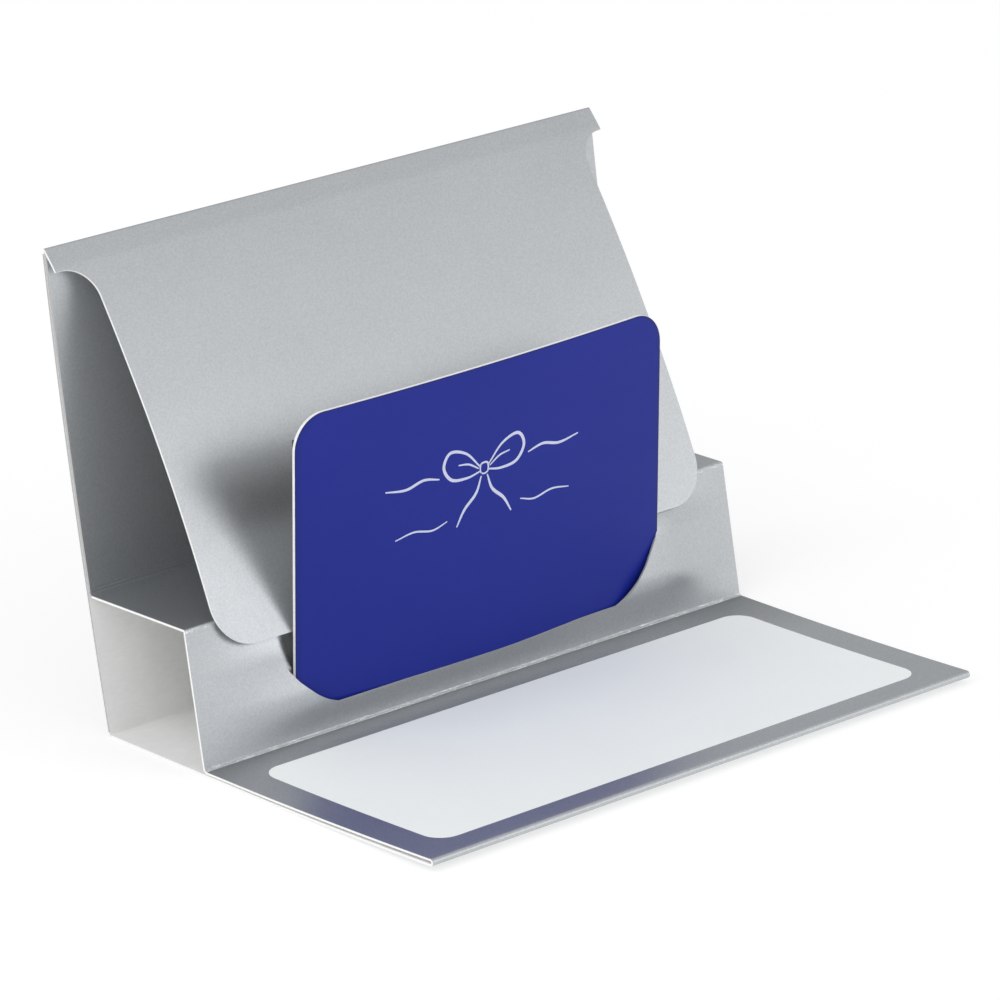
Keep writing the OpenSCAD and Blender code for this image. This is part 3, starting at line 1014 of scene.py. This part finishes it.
def stroke(blocks, pts, w0, w1=None):
    """Thin band along a curve in card coordinates. Its width swells in the middle."""
    w1 = w0 if w1 is None else w1
    P_ = np.asarray(pts)
    t_ = tangents(P_)
    n_ = np.stack([-t_[:, 1], t_[:, 0]], 1)
    k_ = np.linspace(0, 1, len(P_))
    w_ = (w0 + (w1 - w0) * np.sin(math.pi * k_))[:, None] / 2
    G_ = []
    for side_ in (-1.0, 0.0, 1.0):
        q_ = P_ + n_ * w_ * side_
        G_.append(card_pt(q_[:, 0], q_[:, 1], card_w(q_[:, 0]) + CT / 2 + 0.006))
    blocks.grid(np.swapaxes(np.array(G_), 0, 1), flip=True)


OX, OV = -0.6, 35.2
inks = []


def ink(k, pts, w0, w1=None, n=24):
    b_ = Blocks()
    stroke(b_, curve([(OX + x_, OV + y_) for x_, y_ in pts], n), w0, w1)
    o_ = solid("card_ink_%d" % k, b_, 0.005, -0.008, (INK, INK, INK))
    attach(o_, "gift_card")
    inks.append(o_)


for sgn in (-1, 1):
    k = 0 if sgn < 0 else 10
    ink(k + 1, [(sgn * 1.0, 0.5), (sgn * 4.2, 3.6), (sgn * 7.9, 4.6), (sgn * 9.4, 2.2), (sgn * 7.6, -0.4),
                (sgn * 4.0, -0.9), (sgn * 1.0, -0.4)], 0.28, 0.62)
    ink(k + 2, [(sgn * 1.3, 0.2), (sgn * 3.6, 1.5), (sgn * 6.0, 1.9)], 0.22, 0.34)
    ink(k + 3, [(sgn * 0.7, -1.3), (sgn * 1.9, -4.2), (sgn * 4.6, -6.6), (sgn * 6.4, -9.4)], 0.26, 0.60)
    ink(k + 4, [(sgn * 10.4, 0.4), (sgn * 14.0, 1.1), (sgn * 18.0, 0.3), (sgn * 22.6, 0.9)], 0.24, 0.52)
    ink(k + 5, [(sgn * 8.6, -7.8), (sgn * 12.0, -8.6), (sgn * 16.2, -7.9), (sgn * 20.4, -8.5)], 0.20, 0.36)
ink(6, [(-0.75, -0.75), (-0.95, 0.0), (-0.75, 0.85), (0.0, 1.05), (0.75, 0.85), (0.95, 0.0), (0.75, -0.75), (0.0, -1.0),
        (-0.62, -0.82)], 0.26, 0.36, 10)

# ---- glue lines keep their CAD shape ------------------------------------------
GLUE = glue_mat("dried_glue")
for name in ("base_glue", "liner_glue"):
    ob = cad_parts[name]
    ob.data.materials.clear()
    ob.data.materials.append(GLUE)

# ------------------------------------------------------------------- stage

fl = bpy.data.meshes.new("floor")
fl.from_pydata([(-6, -6, -0.00003), (6, -6, -0.00003), (6, 6, -0.00003), (-6, 6, -0.00003)], [], [(0, 1, 2, 3)])
floor = bpy.data.objects.new("floor", fl)
bpy.context.scene.collection.objects.link(floor)
fm = bpy.data.materials.new("floor_white")
fm.use_nodes = True
nt = fm.node_tree
nt.nodes.clear()
out = nt.nodes.new("ShaderNodeOutputMaterial")
df = nt.nodes.new("ShaderNodeBsdfDiffuse")
df.inputs["Color"].default_value = (0.42, 0.42, 0.42, 1)
em = nt.nodes.new("ShaderNodeEmission")
em.inputs["Color"].default_value = (1, 1, 1, 1)
em.inputs["Strength"].default_value = 0.62
ad = nt.nodes.new("ShaderNodeAddShader")
nt.links.new(df.outputs[0], ad.inputs[0])
nt.links.new(em.outputs[0], ad.inputs[1])
nt.links.new(ad.outputs[0], out.inputs[0])
fl.materials.append(fm)


def area(name, direction, dist, size, power, color=(1, 1, 1), target=(0, 0.01, 0.03)):
    li_ = bpy.data.lights.new(name, "AREA")
    li_.shape = "DISK"
    li_.size = size
    li_.energy = power
    li_.color = color
    ob = bpy.data.objects.new(name, li_)
    d = Vector(direction).normalized()
    ob.location = Vector(target) + d * dist
    ob.rotation_euler = (-d).to_track_quat("-Z", "Y").to_euler()
    bpy.context.scene.collection.objects.link(ob)
    return ob


KEY_DIR = (0.46, -0.84, 0.36)


def softbox(name, direction, dist, size, radiance, color=(1, 1, 1)):
    """Disk light given by the radiance that it shows, so that its reflections are easy to judge."""
    ang = math.pi * (size / 2) ** 2 / dist ** 2
    return area(name, direction, dist, size, radiance * ang * math.pi * dist ** 2, color)


softbox("key", KEY_DIR, 2.5, 1.25, 1.6)
softbox("left", (-0.80, -0.05, 0.64), 2.5, 3.0, 1.25)

world = bpy.data.worlds.new("studio")
bpy.context.scene.world = world
world.use_nodes = True
nt = world.node_tree
nt.nodes.clear()
out = nt.nodes.new("ShaderNodeOutputWorld")
bg = nt.nodes.new("ShaderNodeBackground")
tc = nt.nodes.new("ShaderNodeTexCoord")
# light tent: bright in front, dimmer behind
dotn = nt.nodes.new("ShaderNodeVectorMath")
dotn.operation = "DOT_PRODUCT"
dotn.inputs[1].default_value = (-0.20, -0.97, 0.08)
nt.links.new(tc.outputs["Generated"], dotn.inputs[0])
r = nt.nodes.new("ShaderNodeValToRGB")
mr = nt.nodes.new("ShaderNodeMapRange")
mr.inputs["From Min"].default_value = -1
mr.inputs["From Max"].default_value = 1
nt.links.new(dotn.outputs["Value"], mr.inputs["Value"])
nt.links.new(mr.outputs[0], r.inputs["Fac"])
el = r.color_ramp.elements
el[0].position, el[0].color = 0.15, (0.53, 0.535, 0.545, 1)
el[1].position, el[1].color = 0.80, (0.83, 0.84, 0.845, 1)
nt.links.new(r.outputs["Color"], bg.inputs["Color"])
bg.inputs["Strength"].default_value = 1.0
nt.links.new(bg.outputs[0], out.inputs[0])

# ------------------------------------------------------------------ camera

cam_d = bpy.data.cameras.new("camera")
cam = bpy.data.objects.new("camera", cam_d)
bpy.context.scene.collection.objects.link(cam)
cam_d.sensor_fit = "HORIZONTAL"
cam_d.sensor_width = 36.0
cam_d.lens = 250.2
cam_d.clip_start, cam_d.clip_end = 0.05, 30
eye = Vector((-0.7685, -0.8285, 0.4379))
aim = Vector((0.0046, 0.00836, 0.0333))
cam.location = eye
cam.rotation_euler = (aim - eye).to_track_quat("-Z", "Y").to_euler()
bpy.context.scene.camera = cam
vs = bpy.context.scene.view_settings
vs.view_transform = "Standard"
vs.look = "None"
vs.exposure = 0.0
vs.gamma = 1.0
